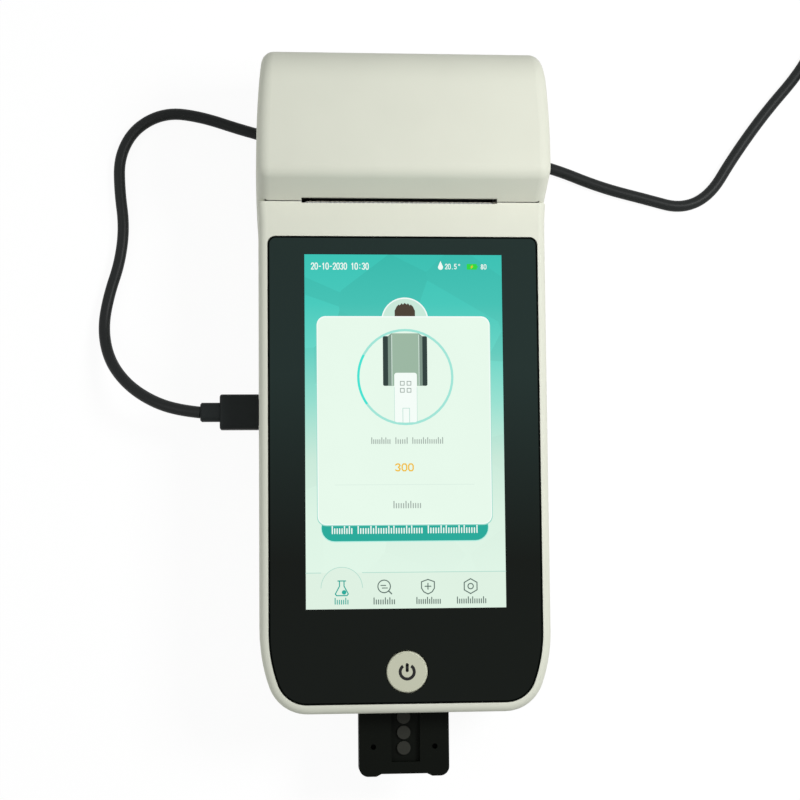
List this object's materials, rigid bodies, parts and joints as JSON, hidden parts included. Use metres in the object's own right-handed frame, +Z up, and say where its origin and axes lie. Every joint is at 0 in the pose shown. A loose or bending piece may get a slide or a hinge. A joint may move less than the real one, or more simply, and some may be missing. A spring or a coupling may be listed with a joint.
{
  "type": "hematology analyzer",
  "caption": "Handheld hematology analyzer with touch screen, pull-out black cassette tray, built-in receipt printer and a charging cable.",
  "frame": {"origin": "middle of the instrument with its tray out, on the table under the feet", "axes": "+X to the right of the screen, +Y from the tray to the printer, +Z up off the table"},
  "size_m": [0.3014, 0.2625, 0.0529],
  "materials": {
    "casing": "fine satin moulded ivory plastic",
    "glass_black": "polished, black bordered",
    "display": "lit panel, light metal frame",
    "button_ivory": "satin",
    "black_plastic": "satin black",
    "pad_grey": "matt",
    "dark_plastic": "matt",
    "steel": "plated",
    "aluminium": "matt extruded",
    "rubber_black": "matt",
    "gear_white": "moulded nylon",
    "board_green": "solder masked laminate",
    "chip_black": "moulded",
    "lens_glass": "polished",
    "lamp_clear": "clear",
    "ceramic_white": "glazed strip on white ceramic",
    "battery_grey": "foil pouch with film wrap",
    "bronze": "sintered bronze",
    "cord_black": "satin jacket"
  },
  "bodies": {
    "base": {"back_case": "casing", "front_case": "casing", "cover_hinge_pins": "steel", "glass_panel": "glass_black", "display_module": "display", "tact_switch": "dark_plastic", "button_board": "board_green", "tray_guide": "dark_plastic", "tray_motor": "steel", "optics_block": "aluminium", "objective_lens": "lens_glass", "reader_lamp": "lamp_clear", "sensor_board": "board_green", "printer_chassis": "steel", "print_head": "ceramic_white", "head_sink": "aluminium", "head_spring": "steel", "idler_axle": "steel", "printer_motor": "steel", "paper_bucket": "dark_plastic", "tear_bar": "steel", "main_board": "board_green", "board_parts": "chip_black", "usb_socket": "steel", "battery_pack": "battery_grey", "case_screws": "steel", "inner_screws": "steel", "rubber_feet": "rubber_black", "plug_grip": "cord_black", "plug_contact": "steel", "plug_relief": "cord_black", "cable": "cord_black", "cable_coil": "cord_black", "cable_tail": "cord_black", "far_grip": "cord_black", "far_contact": "steel"},
    "cover": {"printer_cover": "casing", "platen_bushes": "bronze"},
    "platen": {"platen_roller": "rubber_black", "platen_shaft": "steel", "platen_gear": "gear_white"},
    "idler": {"idler_gear": "gear_white"},
    "motor_shaft": {"motor_pinion": "steel"},
    "tray": {"cassette_tray": "black_plastic", "tray_pads": "pad_grey"},
    "tray_drive": {"tray_pinion": "gear_white"},
    "button": {"power_button": "button_ivory", "switch_plunger": "dark_plastic"}
  },
  "joints": [
    {"name": "cover_hinge", "type": "hinge", "parent": "base", "child": "cover", "pos_m": [0, 0.11065, 0.021], "axis": [-1, 0, 0], "range_deg": [0, 85]},
    {"name": "platen_spin", "type": "hinge", "parent": "cover", "child": "platen", "pos_m": [0, 0.07175, 0.0355], "axis": [1, 0, 0], "continuous": true},
    {"name": "idler_spin", "type": "hinge", "parent": "base", "child": "idler", "pos_m": [0.03525, 0.0684, 0.02651], "axis": [1, 0, 0], "continuous": true},
    {"name": "motor_spin", "type": "hinge", "parent": "base", "child": "motor_shaft", "pos_m": [0.031, 0.0722, 0.01992], "axis": [1, 0, 0], "continuous": true},
    {"name": "tray_slide", "type": "slide", "parent": "base", "child": "tray", "axis": [0, 1, 0], "range_m": [0, 0.02]},
    {"name": "tray_pinion_spin", "type": "hinge", "parent": "base", "child": "tray_drive", "pos_m": [0.0148, -0.05195, 0.01823], "axis": [-1, 0, 0], "range_deg": [0, 290]},
    {"name": "button_press", "type": "slide", "parent": "base", "child": "button", "axis": [0, 0, -1], "range_m": [0, 0.0006], "stiffness_N_per_m": 900}
  ],
  "couplings": [
    {"joint": "idler_spin", "follows": "platen_spin", "ratio": -1.1111},
    {"joint": "motor_spin", "follows": "platen_spin", "ratio": 1.6667},
    {"joint": "tray_pinion_spin", "follows": "tray_slide", "rad_per_m": 250}
  ]
}
